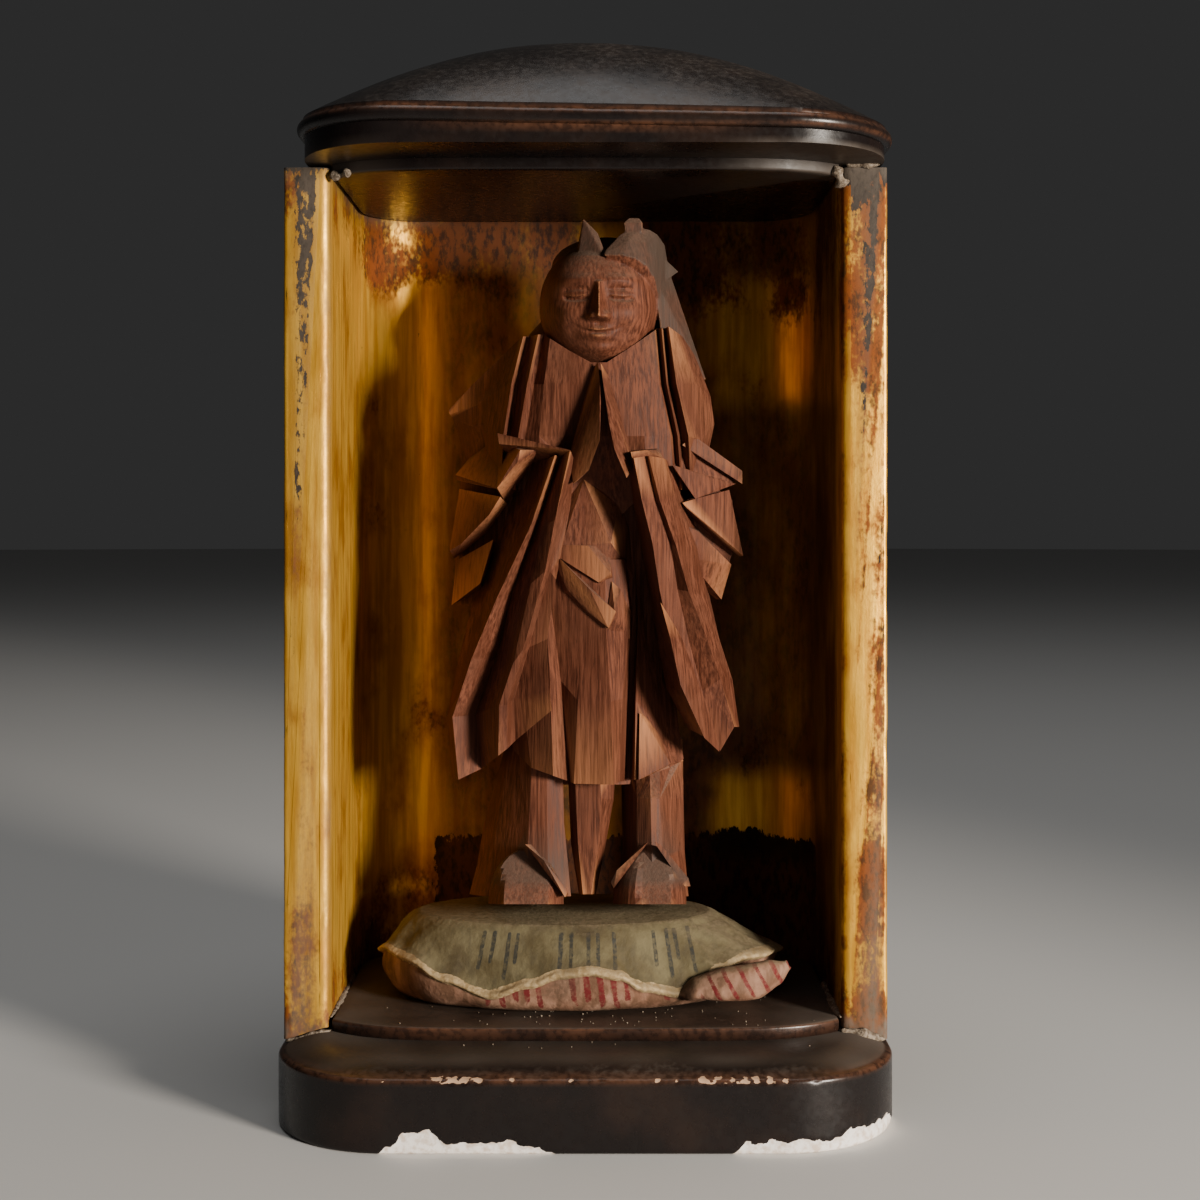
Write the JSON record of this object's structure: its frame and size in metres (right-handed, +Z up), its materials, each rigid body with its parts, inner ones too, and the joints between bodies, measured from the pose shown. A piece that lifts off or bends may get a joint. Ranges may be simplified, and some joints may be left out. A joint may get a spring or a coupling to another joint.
{
  "type": "shrine cabinet",
  "caption": "Small open-fronted portable shrine cabinet, black lacquer outside and gilt inside, holding a carved robed figure on a leaf stand.",
  "frame": {"origin": "on the floor under the middle of the base", "axes": "+Z up, -Y out of the open front, +X to the right of someone facing the front"},
  "size_m": [0.0644, 0.0496, 0.115],
  "materials": {
    "lacquer": "black lacquer, glossy, dusty on the upper sides",
    "gilding": "worn gilding inside and on the front faces, black lacquer outside",
    "leaf_paint": "matt grey-green paint, pink under the leaf",
    "carved_wood": "bare knife-cut wood"
  },
  "bodies": {
    "root": {"base": "lacquer", "body_shell": "gilding", "roof": "lacquer", "leaf_stand": "leaf_paint", "figure": "carved_wood"}
  },
  "joints": []
}
